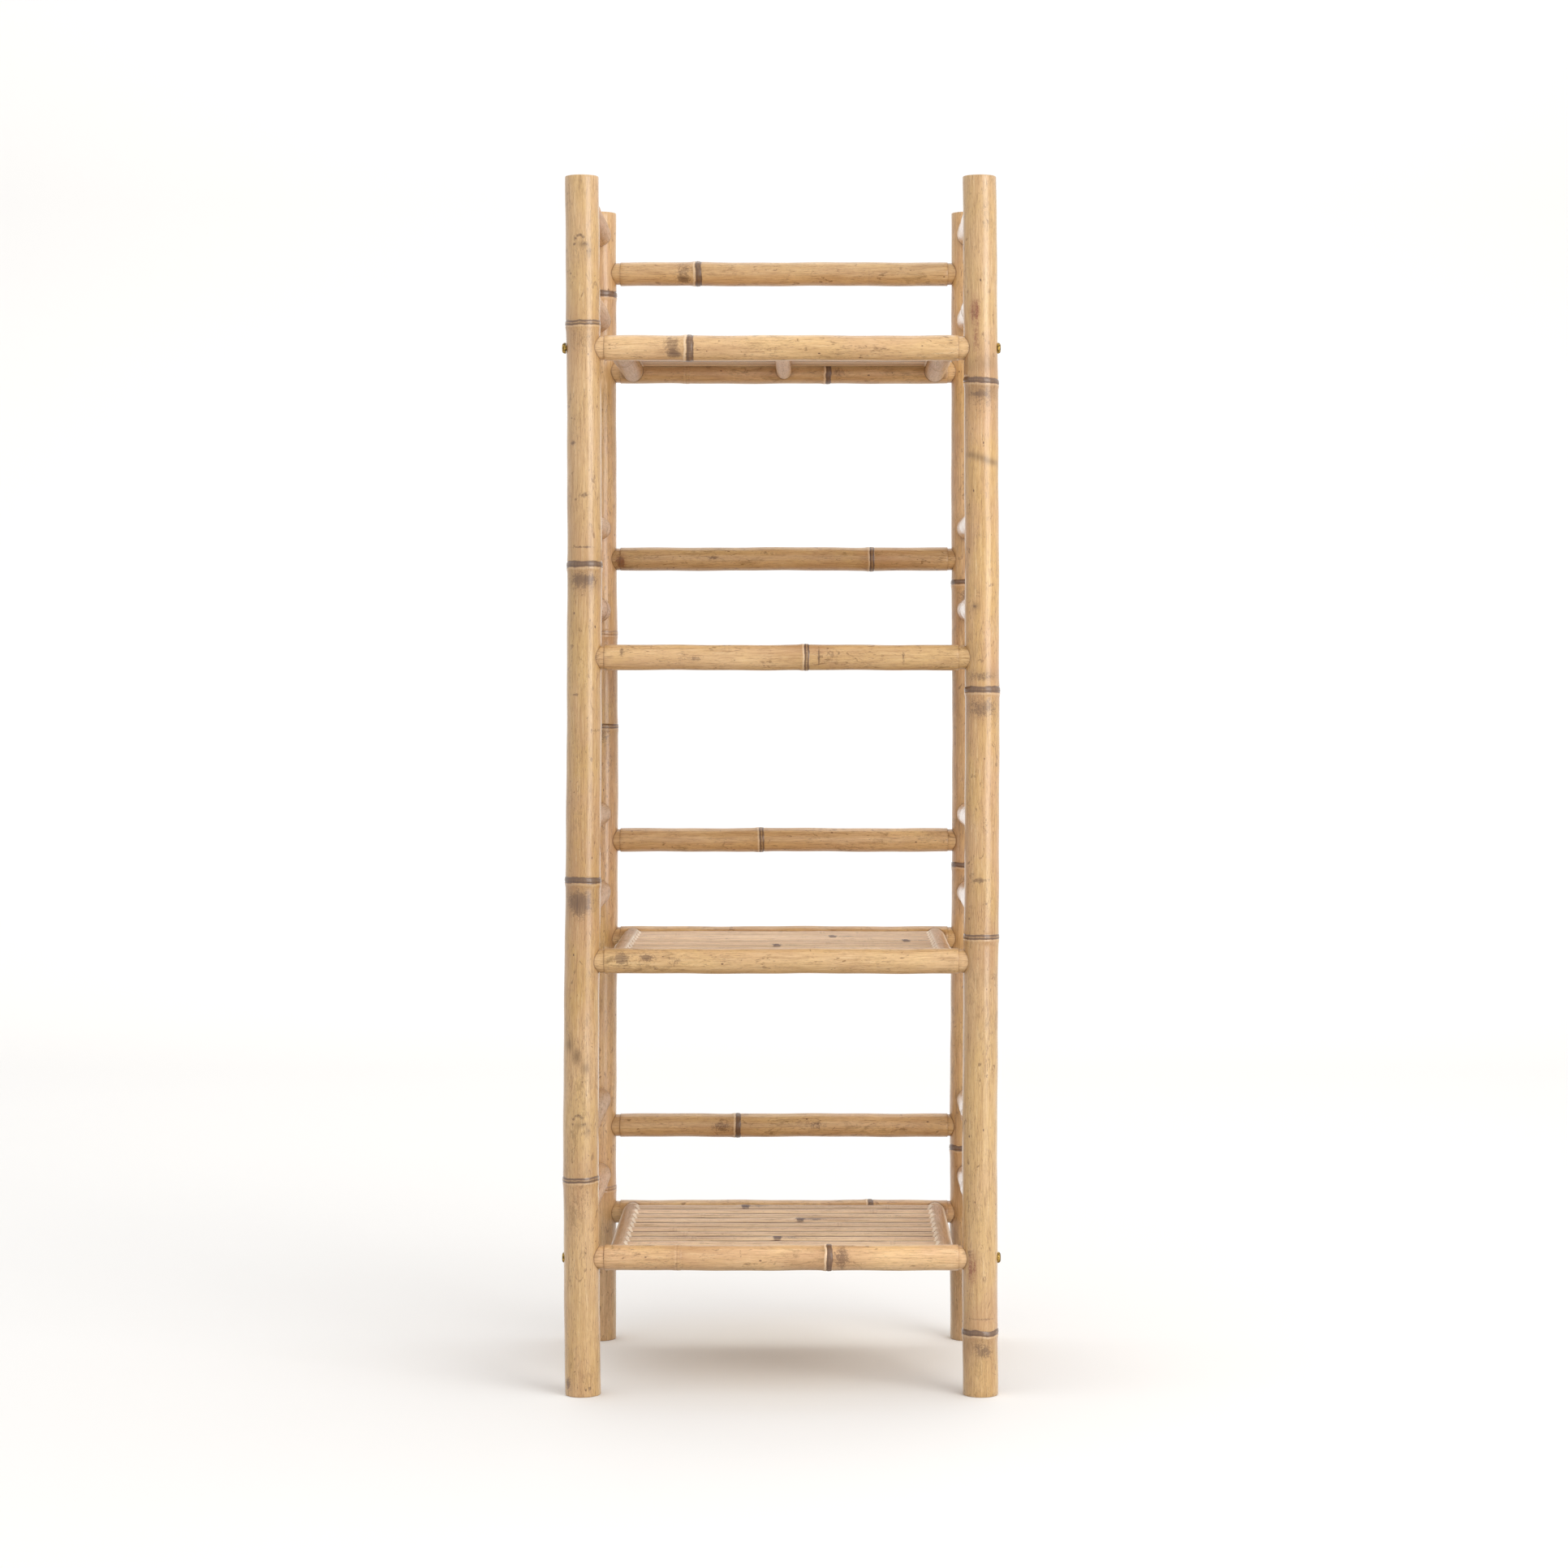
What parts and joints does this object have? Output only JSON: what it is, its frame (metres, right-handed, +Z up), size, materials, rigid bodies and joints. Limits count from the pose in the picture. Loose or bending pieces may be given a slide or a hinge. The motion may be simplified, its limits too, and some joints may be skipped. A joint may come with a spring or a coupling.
{
  "type": "ladder shelf",
  "caption": "Open bamboo ladder shelf: round posts joined by tenoned rails and side rungs, with split-culm slat shelves and a back rail above each shelf",
  "frame": {"origin": "on the floor, in the middle between the four posts", "axes": "+X to the viewer's right, +Y to the back, +Z up along the posts"},
  "size_m": [0.54, 0.4008, 1.5],
  "materials": {
    "bamboo_post": "natural bamboo, clear satin lacquer",
    "bamboo_rail": "natural bamboo, clear satin lacquer",
    "bamboo_rung": "natural bamboo, clear satin lacquer",
    "bamboo_sanded": "sanded bamboo, matt lacquer",
    "bamboo_slat": "split bamboo, clear satin lacquer",
    "bolt_brass": "antiqued brass",
    "insert_brass": "plain turned brass",
    "plug_hardwood": "plain turned hardwood"
  },
  "bodies": {
    "root": {"front_left_post": "bamboo_post", "front_right_post": "bamboo_post", "rear_left_post": "bamboo_post", "rear_right_post": "bamboo_post", "shelf_1_front_rail": "bamboo_rail", "shelf_1_rear_rail": "bamboo_rail", "shelf_1_left_pole": "bamboo_sanded", "shelf_1_right_pole": "bamboo_sanded", "shelf_1_centre_bar": "bamboo_sanded", "shelf_1_slats": "bamboo_slat", "back_rail_1": "bamboo_rail", "left_lower_rung_1": "bamboo_rung", "left_upper_rung_1": "bamboo_rung", "right_lower_rung_1": "bamboo_rung", "right_upper_rung_1": "bamboo_rung", "shelf_2_front_rail": "bamboo_rail", "shelf_2_rear_rail": "bamboo_rail", "shelf_2_left_pole": "bamboo_sanded", "shelf_2_right_pole": "bamboo_sanded", "shelf_2_centre_bar": "bamboo_sanded", "shelf_2_slats": "bamboo_slat", "back_rail_2": "bamboo_rail", "left_lower_rung_2": "bamboo_rung", "left_upper_rung_2": "bamboo_rung", "right_lower_rung_2": "bamboo_rung", "right_upper_rung_2": "bamboo_rung", "shelf_3_front_rail": "bamboo_rail", "shelf_3_rear_rail": "bamboo_rail", "shelf_3_left_pole": "bamboo_sanded", "shelf_3_right_pole": "bamboo_sanded", "shelf_3_centre_bar": "bamboo_sanded", "shelf_3_slats": "bamboo_slat", "back_rail_3": "bamboo_rail", "left_lower_rung_3": "bamboo_rung", "left_upper_rung_3": "bamboo_rung", "right_lower_rung_3": "bamboo_rung", "right_upper_rung_3": "bamboo_rung", "shelf_4_front_rail": "bamboo_rail", "shelf_4_rear_rail": "bamboo_rail", "shelf_4_left_pole": "bamboo_sanded", "shelf_4_right_pole": "bamboo_sanded", "shelf_4_centre_bar": "bamboo_sanded", "shelf_4_slats": "bamboo_slat", "back_rail_4": "bamboo_rail", "left_lower_rung_4": "bamboo_rung", "left_upper_rung_4": "bamboo_rung", "right_lower_rung_4": "bamboo_rung", "right_upper_rung_4": "bamboo_rung", "frame_bolts": "bolt_brass", "insert_nuts": "insert_brass", "rail_plugs": "plug_hardwood"}
  },
  "joints": []
}
